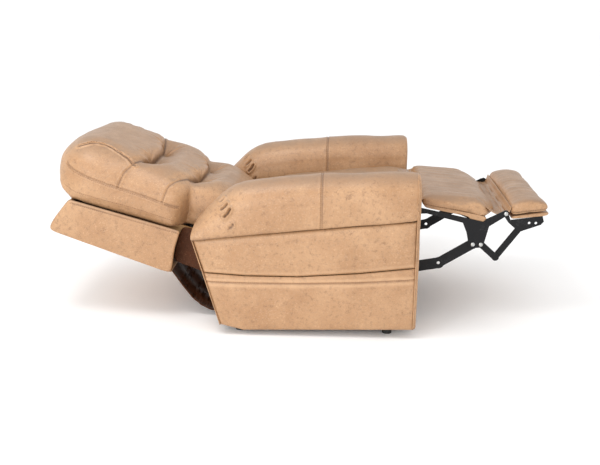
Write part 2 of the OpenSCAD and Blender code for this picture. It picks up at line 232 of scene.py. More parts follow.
# ---------------------------------------------------------------- three linear motors
# Moulded black barrels; their rods are ground and chromed round bar.
chrome = Finish("rod_steel")
rings = chrome.noise(40, 2, 0.5, at=chrome.stretch(18, 1, 1))
finishes["rod_steel"] = chrome.set(
    Base_Color=chrome.mix(rings, rgb(196, 198, 202), rgb(222, 223, 226)), Metallic=1.0,
    Roughness=0.16 + 0.12 * rings)

# ---------------------------------------------------------------- chassis, seat box and springs
# Black steel side plates and cross tubes carry a softwood box with steel springs across it.
wood = Finish("frame_wood")
along = wood.stretch(3, 22, 22)
grain = wood.noise(9, 5, 0.6, 1.2, at=along)
rays = wood.noise(60, 2, 0.5, at=along)
finishes["frame_wood"] = wood.set(
    Base_Color=wood.mix((grain * 0.75 + rays * 0.25).ramp(0.35, 0.65), rgb(196, 160, 112), rgb(150, 108, 66)),
    Roughness=0.55 + 0.2 * rays, Normal=wood.bump(rays, 0.2, 0.0005))
wire_steel = Finish("spring_steel")
finishes["spring_steel"] = wire_steel.set(
    Base_Color=wire_steel.mix(wire_steel.noise(80, 3), rgb(120, 118, 114), rgb(168, 165, 160)),
    Metallic=1.0, Roughness=0.32 + 0.2 * wire_steel.noise(140, 2))
weave = Finish("black_cloth")
warp, weft = weave.bands("X", 260.0, 0.6), weave.bands("Z", 260.0, 0.6)
finishes["black_cloth"] = weave.set(
    Base_Color=weave.mix(warp * weft, rgb(14, 13, 13), rgb(34, 32, 31)), Roughness=0.9,
    Normal=weave.bump(warp + weft, 0.4, 0.0006))


def leather(name, light, mid, dark, sheen_grey, seam, shine=0.5):
    """Wiped leather: pale flecks over a mid brown, darker pores, and a painted greyish sheen where it faces up.
    """
    f = Finish(name)
    cloud = f.noise(5, 3, 0.55, 0.3)
    patch = f.noise(19, 4, 0.62, 0.4)
    mottle = f.noise(64, 4, 0.66)
    fleck = f.noise(210, 3, 0.7)
    pore = f.cells(620)
    crease = f.noise(46, 3, 0.5, 1.5, at=f.stretch(1, 1, 2.2))
    base = (cloud * 0.35 + patch * 0.1 + mottle * 0.25 + fleck * 0.3).ramp(0.40, 0.60)
    tone = f.mix(base, rgb(*mid), rgb(*light))
    tone = f.mix((mottle * 0.4 + fleck * 0.6).ramp(0.48, 0.60) * 0.7, tone, rgb(*dark))
    tone = f.mix((patch * 0.12 + fleck * 0.88).ramp(0.52, 0.64) * 0.5, tone, brighter(light, 26))
    # painted reflection: faces that point up are mixed towards a greyer tone, standing in for the sheen of the
    # overhead light
    tone = f.mix(f.attribute("upward") * (0.62 + 0.9 * (patch - 0.5)), tone, rgb(*sheen_grey))
    # painted highlight: a lighter band beside the hems of the arm sides and pockets
    tone = f.mix(f.attribute("rub") * 0.5, tone, brighter(light, 24))
    # dark seam lines, together with painted shade in grooves, folds, creases and along hems
    tone = f.mix(f.attribute("seam") * 0.9, tone, rgb(*seam))
    return f.set(Base_Color=tone, Roughness=0.43 + 0.3 * (patch - 0.5) + 0.15 * f.attribute("seam"),
                 Specular_IOR_Level=shine,
                 Normal=f.bump(pore * 0.5 + fleck * 0.35 + crease * 0.9, 0.32, 0.0012))


finishes["tan_upholstery"] = leather("tan_upholstery", (190, 150, 112), (168, 127, 90), (114, 78, 50),
                                     (132, 108, 88), (50, 28, 16))
finishes["brown_cloth"] = leather("brown_cloth", (88, 50, 28), (66, 37, 21), (36, 20, 12),
                                  (66, 44, 30), (18, 11, 8), shine=0.12)
for part in frame["record"]["subparts"]:
    o = frame["nodes"][part["node"]]
    if not o.material_slots:
        o.data.materials.append(None)
    for s in o.material_slots:
        s.material = finishes[part["material_slot"]]

# ---------------------------------------------------------------- seat cushion
# A crowned foam block in tan leather that lies on the spring box between the arms.


def place(q):
    """Millimetres from the arm fronts, the middle plane and the floor, as metres in the frame."""
    q = np.asarray(q, float) / 1000
    return q + np.array([ZERO_U, 0, 0])


def solid(name, points, faces, finish, smooth=True):
    """A closed mesh object with its normals turned outwards."""
    me = bpy.data.meshes.new(name)
    me.from_pydata(place(points).tolist(), [], [list(f) for f in faces])
    bm = bmesh.new()
    bm.from_mesh(me)
    bmesh.ops.remove_doubles(bm, verts=bm.verts, dist=1e-6)
    bmesh.ops.recalc_face_normals(bm, faces=bm.faces)
    bm.to_mesh(me)
    bm.free()
    me.polygons.foreach_set("use_smooth", [smooth] * len(me.polygons))
    me.materials.append(finishes[finish])
    o = bpy.data.objects.new(name, me)
    scene.collection.objects.link(o)
    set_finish(o, finish)
    return o


def ring_faces(rows, n):
    return [(i * n + j, i * n + (j + 1) % n, (i + 1) * n + (j + 1) % n, (i + 1) * n + j)
            for i in range(rows - 1) for j in range(n)]


def loft(name, rings, finish, insets=(0.97, 0.88, 0.7, 0.45, 0.2), bulge=0.0):
    """Closed rings joined in a row, both ends filled by smaller and smaller rings to a middle point."""
    rings = [np.asarray(r, float) for r in rings]
    n = len(rings[0])
    first, last = rings[0].mean(0), rings[-1].mean(0)
    way = (last - first) / (np.linalg.norm(last - first) + 1e-9)
    head = [first + (rings[0] - first) * k - way * bulge * (1 - k * k) for k in insets]
    tail = [last + (rings[-1] - last) * k + way * bulge * (1 - k * k) for k in insets]
    rows = head[::-1] + rings + tail
    points = np.concatenate(rows + [[first - way * bulge], [last + way * bulge]])
    faces = ring_faces(len(rows), n)
    a, b, e = len(rows) * n, len(rows) * n + 1, (len(rows) - 1) * n
    faces += [(a, (j + 1) % n, j) for j in range(n)] + [(b, e + j, e + (j + 1) % n) for j in range(n)]
    return solid(name, points, faces, finish)


def rounded(corners, count, times=3):
    """A closed outline with its corners cut round, as evenly spaced points."""
    p = np.asarray(corners, float)
    for _ in range(times):
        q = np.roll(p, -1, 0)
        near = np.minimum(0.25, 14 / (np.linalg.norm(q - p, axis=1) + 1e-9))[:, None]
        p = np.stack([p + (q - p) * near, q - (q - p) * near], 1).reshape(-1, 2)
    return even(p, count, True)


def even(p, count, closed=False):
    p = np.asarray(p, float)
    if closed:
        p = np.concatenate([p, p[:1]])
    d = np.concatenate([[0], np.cumsum(np.linalg.norm(np.diff(p, axis=0), axis=1))])
    at = np.linspace(0, d[-1], count + 1)[:-1] if closed else np.linspace(0, d[-1], count)
    return np.stack([np.interp(at, d, p[:, k]) for k in range(p.shape[1])], 1)


def pad(name, corners, half, finish, round_mm=34, crown=8, step=9, count=72, pinch=5):
    """A stuffed pad: its side outline swept across the chair, pulled in towards both ends."""
    outline = rounded(corners, count)
    mid = outline.mean(0)
    size = (outline.max(0) - outline.min(0)) / 2
    rows = []
    flat = np.linspace(-(half - round_mm), half - round_mm, int(2 * (half - round_mm) / step) + 1)
    turn = np.sin(np.linspace(0, 1, 7)[1:] * math.pi / 2) * round_mm
    ys = np.concatenate([flat[0] - turn[::-1], flat, flat[-1] + turn])
    for y in ys:
        over = max(0.0, (abs(y) - (half - round_mm)) / round_mm)
        cut = round_mm * 0.9 * (1 - math.sqrt(max(0.0, 1 - over * over)))
        ring = mid + (outline - mid) * (1 - np.minimum(0.9, cut / size))
        lift = crown * (1 - (y / half) ** 2)
        up = np.clip((ring[:, 1] - mid[1]) / size[1], -0.2, 1)
        ring = ring + np.stack([0 * up, lift * np.maximum(up, 0)], 1)
        rows.append(np.stack([ring[:, 0], np.full(count, y), ring[:, 1]], 1))
    return loft(name, rows, finish, bulge=pinch)


def get(o):
    v = np.empty(len(o.data.vertices) * 3)
    o.data.vertices.foreach_get("co", v)
    return v.reshape(-1, 3)


trees = {}


def put(o, co):
    trees.pop(o.name, None)
    o.data.vertices.foreach_set("co", np.ascontiguousarray(co, float).ravel())
    o.data.update()


def outward(o):
    v = np.empty(len(o.data.vertices) * 3)
    o.data.vertex_normals.foreach_get("vector", v)
    return v.reshape(-1, 3)


def settle(o):
    """Keeps the evaluated mesh and drops the modifiers."""
    me = bpy.data.meshes.new_from_object(o.evaluated_get(bpy.context.evaluated_depsgraph_get()))
    old = o.data
    o.modifiers.clear()
    o.data = me
    bpy.data.meshes.remove(old)
    me.name = o.name


def refine(o):
    s = o.modifiers.new("fine", "SUBSURF")
    s.levels = s.render_levels = 1
    settle(o)


CLOTH_FRAMES, CLOTH_PRESSURE, CLOTH_VOXEL = 14, 4.0, 0.006


def puff(o, cap, hold=None):
    """Cloth under pressure from inside, without gravity; no point moves farther than cap mm."""
    m = o.modifiers.new("remesh", "REMESH")
    m.mode, m.voxel_size, m.use_smooth_shade = "VOXEL", CLOTH_VOXEL, True
    settle(o)
    start = get(o)
    c = o.modifiers.new("cloth", "CLOTH")
    s = c.settings
    s.quality, s.mass, s.air_damping = 4, 0.35, 2.0
    s.tension_stiffness = s.compression_stiffness = 18
    s.shear_stiffness, s.bending_stiffness = 6, 0.6
    s.use_pressure, s.uniform_pressure_force = True, CLOTH_PRESSURE
    s.effector_weights.gravity = 0
    if hold is not None:
        g = o.vertex_groups.new(name="hold")
        g.add(np.nonzero(hold(start))[0].tolist(), 1.0, "REPLACE")
        s.vertex_group_mass = "hold"
    c.point_cache.frame_start, c.point_cache.frame_end = 1, CLOTH_FRAMES
    for k in range(1, CLOTH_FRAMES + 1):
        scene.frame_set(k)
    done = np.empty(len(start) * 3)
    o.evaluated_get(bpy.context.evaluated_depsgraph_get()).data.vertices.foreach_get("co", done)
    move = done.reshape(-1, 3) - start
    far = np.linalg.norm(move, axis=1)[:, None]
    move *= np.minimum(1, cap / 1000 / np.maximum(far, 1e-9))
    o.modifiers.clear()
    o.vertex_groups.clear()
    scene.frame_set(1)
    put(o, start + move)
    sm = o.modifiers.new("smooth", "SMOOTH")
    sm.factor, sm.iterations = 0.5, 3
    settle(o)
    refine(o)
    o.data.polygons.foreach_set("use_smooth", [True] * len(o.data.polygons))


def paint(o, name, values):
    """Raises a point attribute that the finish reads; what was painted before stays."""
    a = o.data.attributes.get(name) or o.data.attributes.new(name, "FLOAT", "POINT")
    old = np.empty(len(o.data.vertices), np.float32)
    a.data.foreach_get("value", old)
    a.data.foreach_set("value", np.clip(np.maximum(old, values), 0, 1).astype(np.float32))


def away(co, path):
    """How far each point is from a run of points, in metres."""
    best = np.full(len(co), 9.0)
    for a, b in zip(path[:-1], path[1:]):
        d = b - a
        t = np.clip(((co - a) @ d) / max(d @ d, 1e-12), 0, 1)
        best = np.minimum(best, np.linalg.norm(co - a - t[:, None] * d, axis=1))
    return best


def groove(o, path, depth, width, dark=1.0, lip=0.35, line=None):
    """Presses a sewn line or fold into a piece and darkens it, as a dark seam line with painted shade in the
    groove; all sizes in mm.
    """
    co, n = get(o), outward(o)
    d = away(co, np.asarray(path, float)) * 1000
    cut = -depth * np.exp(-(d / width) ** 2) + lip * depth * np.exp(-((d - 2.2 * width) / width) ** 2)
    put(o, co + n * (cut / 1000)[:, None])
    paint(o, "seam", dark * np.exp(-(d / (line or 0.55 * width)) ** 2))


def swell(o, depth, scale, seed):
    """Slow, uneven fullness as stuffing has, in mm over features of 1/scale metres."""
    co, n = get(o), outward(o)
    f = np.array([noise.noise(Vector((x * scale + seed, y * scale, z * scale))) for x, y, z in co])
    put(o, co + n * (depth / 1000 * f)[:, None])


def paint_top_sheen(o, low=0.35, high=0.95):
    # Painted reflection: marks faces that point up for the greyer painted sheen of the leather finish.
    t = np.clip((outward(o)[:, 2] - low) / (high - low), 0, 1)
    paint(o, "upward", t * t * (3 - 2 * t))


seat = pad("seat_pad", [[-506, 404], [-532, 426], [-518, 440], [-316, 460], [-150, 476], [-45, 484], [2, 477],
                        [8, 462], [6, 404]], 248, "tan_upholstery", crown=9)
puff(seat, 8, hold=lambda c: c[:, 2] < 0.412)
swell(seat, 4, 7, 3)
paint_top_sheen(seat)
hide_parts("seat_cushion")
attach(seat, "seat_frame")

# ---------------------------------------------------------------- arms
# Each arm is a board box wrapped in tan leather: a stuffed roll along the top, gathered where
# it turns down at the back, a flat side, a full-length hemmed pocket, and a piped front facing.


def scatter_tree():
    """Geometry nodes: one shape at each point, turned by the point's own directions."""
    g = bpy.data.node_groups.new("set_along", "GeometryNodeTree")
    new = g.interface.new_socket
    new("Geometry", in_out="INPUT", socket_type="NodeSocketGeometry")
    for label, kind in (("Shape", "Object"), ("Size", "Float"), ("Jitter", "Float"), ("Seed", "Int"),
                        ("Material", "Material")):
        new(label, in_out="INPUT", socket_type="NodeSocket" + kind)
    new("Geometry", in_out="OUTPUT", socket_type="NodeSocketGeometry")

    def add(kind, props=(), **inputs):
        n = g.nodes.new(kind)
        for k, v in dict(props).items():
            setattr(n, k, v)
        for k, v in inputs.items():
            k = k.replace("_", " ")
            g.links.new(v, n.inputs[k]) if hasattr(v, "links") else setattr(n.inputs[k], "default_value", v)
        return n
    inp = g.nodes.new("NodeGroupInput").outputs
    way = add("GeometryNodeInputNamedAttribute", {"data_type": "FLOAT_VECTOR"}, Name="way")
    out = add("GeometryNodeInputNamedAttribute", {"data_type": "FLOAT_VECTOR"}, Name="out")
    turn = add("FunctionNodeAxesToRotation", {"primary_axis": "Z", "secondary_axis": "X"},
               Primary_Axis=out.outputs[0], Secondary_Axis=way.outputs[0])
    shape = add("GeometryNodeObjectInfo", Object=inp["Shape"])

    def sum_of(operation, a, b):
        n = add("ShaderNodeMath", {"operation": operation})
        for value, socket in ((a, n.inputs[0]), (b, n.inputs[1])):
            wire(g, value, socket)
        return n.outputs[0]
    luck = add("FunctionNodeRandomValue", {"data_type": "FLOAT"})
    g.links.new(sum_of("SUBTRACT", 1.0, inp["Jitter"]), luck.inputs[2])
    g.links.new(sum_of("ADD", 1.0, inp["Jitter"]), luck.inputs[3])
    g.links.new(inp["Seed"], luck.inputs["Seed"])
    size = sum_of("MULTIPLY", inp["Size"], luck.outputs[1])
    put_on = add("GeometryNodeInstanceOnPoints", Points=inp["Geometry"],
                 Instance=shape.outputs["Geometry"], Rotation=turn.outputs[0], Scale=size)
    real = add("GeometryNodeRealizeInstances", Geometry=put_on.outputs[0])
    colour = add("GeometryNodeSetMaterial", Geometry=real.outputs[0], Material=inp["Material"])
    g.links.new(colour.outputs[0], g.nodes.new("NodeGroupOutput").inputs[0])
    return g


set_along = scatter_tree()


def shape_of(name, rings, smooth=True):
    """A small closed turned or drawn shape kept out of the scene, in metres about the origin."""
    n = len(rings[0])
    points = [p for r in rings for p in r]
    last = (len(rings) - 1) * n
    faces = ring_faces(len(rings), n) + [tuple(range(n))[::-1], tuple(range(last, last + n))]
    me = bpy.data.meshes.new(name)
    me.from_pydata(points, [], faces)
    me.polygons.foreach_set("use_smooth", [smooth] * len(me.polygons))
    return bpy.data.objects.new(name, me)


def circle(r, x, count=6):
    return [(x, r * math.cos(2 * math.pi * k / count), r * math.sin(2 * math.pi * k / count))
            for k in range(count)]


stitch = shape_of("stitch_shape", [circle(0.0003, -0.0026), circle(0.0007, -0.0017), circle(0.0007, 0.0017),
                                   circle(0.0003, 0.0026)])
thread = Finish("thread")
twist = thread.bands("DIAGONAL", 900.0)
thread_finish = thread.set(Base_Color=thread.mix(twist, rgb(92, 60, 40), rgb(140, 98, 68)), Roughness=0.7,
                           Normal=thread.bump(twist, 0.4, 0.0002))


def set_points(name, points, ways, outs, shape, material, body, slot, size=1.0, jitter=0.06, seed=1):
    """One object of many small shapes, made by the node tree and then kept as a plain mesh."""
    me = bpy.data.meshes.new(name)
    me.from_pydata([tuple(p) for p in points], [], [])
    for key, values in (("way", ways), ("out", outs)):
        me.attributes.new(key, "FLOAT_VECTOR", "POINT").data.foreach_set(
            "vector", np.asarray(values, np.float32).ravel())
    o = bpy.data.objects.new(name, me)
    scene.collection.objects.link(o)
    m = o.modifiers.new("set", "NODES")
    m.node_group = set_along
    values = {"Shape": shape, "Size": size, "Jitter": jitter, "Seed": seed, "Material": material}
    for item in set_along.interface.items_tree:
        if item.in_out == "INPUT" and item.name in values:
            m[item.identifier] = values[item.name]
    settle(o)
    o.data.polygons.foreach_set("use_smooth", [True] * len(o.data.polygons))
    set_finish(o, slot)
    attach(o, body)
    return o


def on_skin(o, path, lift=0.0):
    """The path laid on a piece's surface: points and outward directions."""
    if o.name not in trees:
        trees[o.name] = BVHTree.FromPolygons(get(o).tolist(), [tuple(p.vertices) for p in o.data.polygons])
    tree = trees[o.name]
    pts, outs = [], []
    for q in path:
        hit, n, _, _ = tree.find_nearest(Vector(q))
        pts.append(np.array(hit) + np.array(n) * lift)
        outs.append(np.array(n))
    return np.array(pts), np.array(outs)


def sew(name, o, paths, body, pitch=0.0075, aside=(0.0,), lift=0.0003):
    """Rows of thread along lines on a piece; aside gives each row's distance from the line."""
    spots, headings, normals = [], [], []
    for path in paths:
        path = even(path, max(2, int(np.linalg.norm(np.diff(path, axis=0), axis=1).sum() / pitch)))
        pts, outs = on_skin(o, path)
        ways = np.gradient(pts, axis=0)
        ways /= np.linalg.norm(ways, axis=1)[:, None] + 1e-12
        side = np.cross(outs, ways)
        for a in aside:
            q, n = on_skin(o, pts + side * a, lift)
            spots += list(q)
            headings += list(ways)
            normals += list(n)
    return set_points(name, spots, headings, normals, stitch, thread_finish, body, "tan_upholstery")


def tube(name, path, r, finish, count):
    """A round welt along a path given in mm."""
    path = np.asarray(path, float)
    t = np.gradient(path, axis=0)
    t /= np.linalg.norm(t, axis=1)[:, None]
    up = np.array([0.31, 0.17, 0.93])
    rows = []
    for p, d in zip(path, t):
        a = np.cross(d, up)
        a /= np.linalg.norm(a)
        b = np.cross(d, a)
        ang = np.linspace(0, 2 * math.pi, count, endpoint=False)
        rows.append(p + r * (np.cos(ang)[:, None] * a + np.sin(ang)[:, None] * b))
    return loft(name, rows, finish, insets=(0.6,), bulge=r * 0.5)


def sheet_solid(name, at, na, nb, finish):
    """A closed panel whose outer (1) and inner (0) face at(a, b, face) gives for a and b from 0 to 1."""
    A, B = np.meshgrid(np.linspace(0, 1, na), np.linspace(0, 1, nb), indexing="ij")
    top, low = at(A, B, 1).reshape(-1, 3), at(A, B, 0).reshape(-1, 3)
    k = na * nb
    cell = [(i * nb + j, (i + 1) * nb + j, (i + 1) * nb + j + 1, i * nb + j + 1)
            for i in range(na - 1) for j in range(nb - 1)]
    faces = cell + [tuple(k + v for v in c[::-1]) for c in cell]
    rim = [i * nb for i in range(na)] + [(na - 1) * nb + j for j in range(1, nb)] + \
          [i * nb + nb - 1 for i in range(na - 2, -1, -1)] + [j for j in range(nb - 2, 0, -1)]
    for p, q in zip(rim, rim[1:] + rim[:1]):
        faces.append((p, q, k + q, k + p))
    return solid(name, np.concatenate([top, low]), faces, finish)


def stack(*xyz):
    return np.stack(np.broadcast_arrays(*xyz), -1)


def seam_z(u):
    return 440 + 0.1005 * u


crest = even([[4, 594], [-8, 595], [-170, 592], [-330, 586], [-480, 572], [-560, 563], [-605, 554], [-640, 541],
              [-668, 525], [-696, 503], [-737, 463], [-768, 431], [-784, 412], [-790, 397], [-788, 384]], 150)
# the pocket's hem and the sewn line below it, as heights along the arm; the arm's middle plane,
# the roll's and the facing's radii, and the outer face of the board, all in mm
hem_u, hem_z = [-750, -600, -413, -200, 0], [239, 230, 230, 247, 271]
low_z = [204, 202, 204, 212, 227]
ARM_MID, ROLL_R, FACE_R, FACE_TOP, BOARD_Y = 350, 88, 84, 505, 416
for side, sign in (("right", -1), ("left", 1)):
    rows = []
    for k, (u, z) in enumerate(crest):
        base = seam_z(u) if u > -786 else 361
        high = max(z - base, 16)
        r = min(ROLL_R, high - 4)
        end = min(k, 6) / 6
        tuck = 1 - 0.055 * (1 - math.sqrt(1 - (1 - end) ** 2))
        arc = [(math.cos(t), math.sin(t)) for t in np.linspace(0, math.pi, 40)]
        ring = [(ROLL_R * c, z - r + r * s) for c, s in arc]
        straight = z - r - base
        wall = [(ROLL_R + 4.0 * math.sin(math.pi * f) * min(1, straight / 60), z - r - straight * f)
                for f in (0.2, 0.4, 0.6, 0.8, 0.93)]
        ring += [(-y, h) for y, h in wall]
        ring += [(-83, base), (-40, base + 1), (0, base + 1), (40, base + 1), (83, base)]
        ring = np.array(ring + wall[::-1])
        mid = np.array([0, (z + base) / 2])
        ring = mid + (ring - mid) * tuck
        rows.append(stack(u, sign * (ARM_MID + ring[:, 0]), ring[:, 1]))
    roll = loft(side + "_arm_roll_pad", rows, "tan_upholstery", bulge=3)
    refine(roll)
    swell(roll, 4.5, 8, 11 + sign)
    # four short gathers on each side of the corner of the roll, pressed in and darkened with painted shade
    slits = [[(-682, 513, 402), (-692, 504, 404)], [(-664, 496, 428), (-682, 477, 430)],
             [(-649, 475, 432), (-668, 449, 434)], [(-639, 422, 440), (-651, 412, 440)]]
    for (a, b), deep in zip(slits, (5, 8, 8, 5)):
        for mirror_y in (lambda y: y, lambda y: 2 * ARM_MID - y):
            ends = place([[a[0], sign * mirror_y(a[2]), a[1]],
                          [(a[0] + b[0]) / 2 + 2, sign * mirror_y((a[2] + b[2]) / 2), (a[1] + b[1]) / 2 - 2],
                          [b[0], sign * mirror_y(b[2]), b[1]]])
            line, _ = on_skin(roll, even(ends, 8))
            groove(roll, line, deep, 3.8, dark=1.0, lip=0.7, line=2.4)
    seam_arch = [(-330, sign * (ARM_MID + 92 * math.cos(t)), 497 + 92 * math.sin(t))
                 for t in np.linspace(0, math.pi, 30)]
    seam_arch = [(-331, sign * 442, seam_z(-331))] + seam_arch + [(-331, sign * 260, seam_z(-331))]
    cross_line, _ = on_skin(roll, even(place(seam_arch), 60))
    groove(roll, cross_line, 1.6, 3.4, dark=0.65, lip=0.5, line=1.3)
    paint_top_sheen(roll, 0.5, 1.0)
    # painted shadow: a dark band along the roll's lower seam, where the roll overhangs the side
    co = get(roll)
    low = np.exp(-np.abs(co[:, 2] - (seam_z((co[:, 0] - ZERO_U) * 1000)) / 1000) / 0.0035)
    paint(roll, "seam", 0.6 * low)
    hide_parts(side + "_arm_roll")
    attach(roll, "seat_frame")
    sew(side + "_roll_thread", roll, [cross_line], "seat_frame", aside=(-0.005, 0.005))

    def skin_at(A, B, face):
        u = -A * (750 + 36 * B)
        low = np.interp(u, hem_u, hem_z) + 0 * B
        z = low + (seam_z(u) - 1 - low) * B
        edge = np.minimum(np.minimum(A, 1 - A) * 740, np.minimum(B, 1 - B) * 150)
        full = 1 - np.exp(-edge / 7)
        wave = 2.2 * np.sin(u / 83.0) * np.sin(z / 57.0) * full
        plump = 12 + 10.5 * full + 2.5 * full * np.sin(math.pi * B) + wave * 0.6
        return stack(u, sign * (BOARD_Y + (plump if face else 0)), z)
    skin = sheet_solid(side + "_arm_side", skin_at, 170, 44, "tan_upholstery")
    hem_line = place([(u, sign * 437, np.interp(u, hem_u, hem_z) + 1) for u in np.linspace(-748, 0, 80)])
    # painted shadow along the hem, under the side panel's lower edge
    paint(skin, "seam", 0.6 * np.exp(-(away(get(skin), hem_line) / 0.0026) ** 2))
    # painted highlight: a lighter band about 11 mm above the hem
    paint(skin, "rub", 0.7 * np.exp(-((away(get(skin), hem_line) - 0.011) / 0.006) ** 2))
    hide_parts(side + "_arm_skin")
    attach(skin, "seat_frame")

    def pocket_at(A, B, face):
        u = -A * (695 + 55 * B)
        top = np.interp(u, hem_u, hem_z) - 2
        low = np.interp(-u, [0, 614, 695], [36, 20, 40])
        z = low + (top - low) * B
        edge = np.minimum(np.minimum(A, 1 - A) * 700, z - low)
        full = 1 - np.exp(-edge / 6)
        line = np.interp(u, hem_u, low_z)
        slack = np.sin(math.pi * np.clip((z - low) / np.maximum(line - low, 1), 0, 1)) ** 0.7
        fold = 2.6 * np.exp(-((z - 160 + (u + 250) * 0.55) / 22) ** 2) * np.exp(-((u + 250) / 120) ** 2)
        fold += 1.8 * np.exp(-((z - 120 + (u + 470) * 0.35) / 26) ** 2) * np.exp(-((u + 470) / 130) ** 2)
        wave = 1.6 * np.sin(u / 97.0 + 1) * np.sin(z / 41.0)
        dip = -3.2 * np.exp(-((z - line) / 3.6) ** 2) + 1.6 * np.exp(-((z - line - 9) / 6) ** 2)
        brim = np.clip((top - z) / 7, 0, 1)
        y = 431 + 6 * full + (fold + wave) * slack * full + dip + 1.5 * slack - 5 * (1 - brim)
        back = np.where(edge < 9, float(BOARD_Y), y - 4)
        return stack(u, sign * (y if face else back), z)
    pocket = sheet_solid(side + "_pocket_front", pocket_at, 150, 90, "tan_upholstery")
    low_line = place([(u, sign * 436, np.interp(u, hem_u, low_z)) for u in np.linspace(-735, -4, 90)])
    paint(pocket, "seam", 0.5 * np.exp(-(away(get(pocket), low_line) / 0.0022) ** 2))
    # painted highlight: a lighter band about 10 mm to either side of the sewn line
    paint(pocket, "rub", 0.75 * np.exp(-((away(get(pocket), low_line) - 0.010) / 0.006) ** 2))
    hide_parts(side + "_arm_pocket")
    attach(pocket, "seat_frame")
    sew(side + "_pocket_thread", pocket, [low_line + [0, 0, 0.004]], "seat_frame")

    # front facing, a hardly padded panel with a round head, and its welt
    arch = [(FACE_R * math.cos(t), FACE_TOP + FACE_R * math.sin(t)) for t in np.linspace(0, math.pi, 41)]
    arch += [(-FACE_R, z) for z in np.linspace(480, 48, 24)] + [(-80, 39), (-70, 37)]
    arch += [(y, 37) for y in np.linspace(-50, 50, 7)] + [(70, 37), (80, 39)]
    arch = np.array(arch + [(FACE_R, z) for z in np.linspace(48, 480, 24)])
    spine = np.stack([0 * arch[:, 1], np.clip(arch[:, 1], 110, FACE_TOP)], 1)
    d = arch - spine
    d = d / (np.linalg.norm(d, axis=1)[:, None] + 1e-9)
    rows = []
    for inset, u in ((2, -2), (0, 1), (0, 5), (1.6, 8), (5, 10), (14, 11.2), (34, 12.2)):
        q = arch - d * inset
        rows.append(stack(u, sign * (ARM_MID + q[:, 0]), q[:, 1]))
    face = loft(side + "_arm_front", rows, "tan_upholstery", insets=(0.93, 0.8, 0.6, 0.35, 0.15), bulge=1.0)
    swell(face, 2.0, 9, 23 + sign)
    rim = place(stack(-1, sign * (ARM_MID + arch[:, 0]), arch[:, 1]))
    paint(face, "seam", 0.8 * np.exp(-(away(get(face), rim) / 0.0028) ** 2))
    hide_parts(side + "_arm_facing")
    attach(face, "seat_frame")
    line = arch * [1.012, 1.0]
    welt = tube(side + "_arm_welt", stack(0.5, sign * (ARM_MID + line[:, 0]), line[:, 1]), 2.6,
                "tan_upholstery", count=8)
    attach(welt, "seat_frame")

    # the inside of the arm and its back edge, leather drawn tight over the boards
    def inside(A, B, face):
        u = -4 - A * (692 + 84 * B)
        z = 92 + (seam_z(u) - 1 - 92) * B
        return stack(u, sign * (267.6 if face else 269.6) + 0 * B, z)
    lining = sheet_solid(side + "_arm_inside", inside, 60, 30, "tan_upholstery")
    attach(lining, "seat_frame")

    def rear(A, B, face):
        base = np.array([-695.0, 40.0])
        head = np.array([-786.0, 361.0])
        q = base + (head - base) * B[..., None]
        n = np.array([-(head - base)[1], (head - base)[0]]) / np.linalg.norm(head - base)
        off = (3.2 + 2.5 * np.sin(math.pi * A) * np.sin(math.pi * B)) if face else 0.6
        q = q + n * np.asarray(off)[..., None]
        return stack(q[..., 0], sign * (269 + 168 * A), q[..., 1])
    tail = sheet_solid(side + "_arm_back", rear, 30, 50, "tan_upholstery")
    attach(tail, "seat_frame")

# ---------------------------------------------------------------- back shell
# A boxed board shell behind the cushions in tan leather, edges hemmed, open at its lower end
# where a black strip closes it; brown boxed stems carry it on the two posts.
BACK = (-670.0, 273.0)
LEAN = math.radians(20.3)
ALONG = np.array([-math.cos(LEAN), math.sin(LEAN)])
OUT = np.array([math.sin(LEAN), math.cos(LEAN)])


def back_at(s, y, t):
    """s up the back from its hinge, t out of it, both in mm, as [u, y, z]."""
    s, y, t = np.broadcast_arrays(np.asarray(s, float), np.asarray(y, float), np.asarray(t, float))
    q = s[..., None] * ALONG + t[..., None] * OUT + np.array(BACK)
    return np.stack([q[..., 0], y, q[..., 1]], -1)


def board(name, corners, y0, y1, finish, count=110, round_mm=5, plump=2.5, times=3):
    """An upholstered board: an outline in the back's own directions between two distances."""
    outline = rounded(corners, count, times)
    mid = outline.mean(0)
    way = np.sign(y1 - y0)
    rows = []
    d = outline - mid
    size = np.abs(d).max(0)
    for inset, y in ((round_mm, y0), (round_mm * 0.3, y0 + way * round_mm * 0.5), (0, y0 + way * round_mm),
                     (0, y1 - way * round_mm), (round_mm * 0.3, y1 - way * round_mm * 0.45), (round_mm, y1)):
        q = mid + d * (1 - inset / size)
        rows.append(back_at(q[:, 0], y, q[:, 1]))
    return loft(name, rows, finish, insets=(0.985, 0.95, 0.88, 0.78, 0.66, 0.5, 0.33, 0.15), bulge=plump)


def join(name, parts):
    """Several closed meshes as one object."""
    bm = bmesh.new()
    for p in parts:
        bm.from_mesh(p.data)
    me = bpy.data.meshes.new(name)
    bm.to_mesh(me)
    bm.free()
    me.materials.append(parts[0].data.materials[0])
    slot_name = parts[0]["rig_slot"]
    for p in parts:
        bpy.data.objects.remove(p)
    o = bpy.data.objects.new(name, me)
    scene.collection.objects.link(o)
    me.polygons.foreach_set("use_smooth", [True] * len(me.polygons))
    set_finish(o, slot_name)
    return o


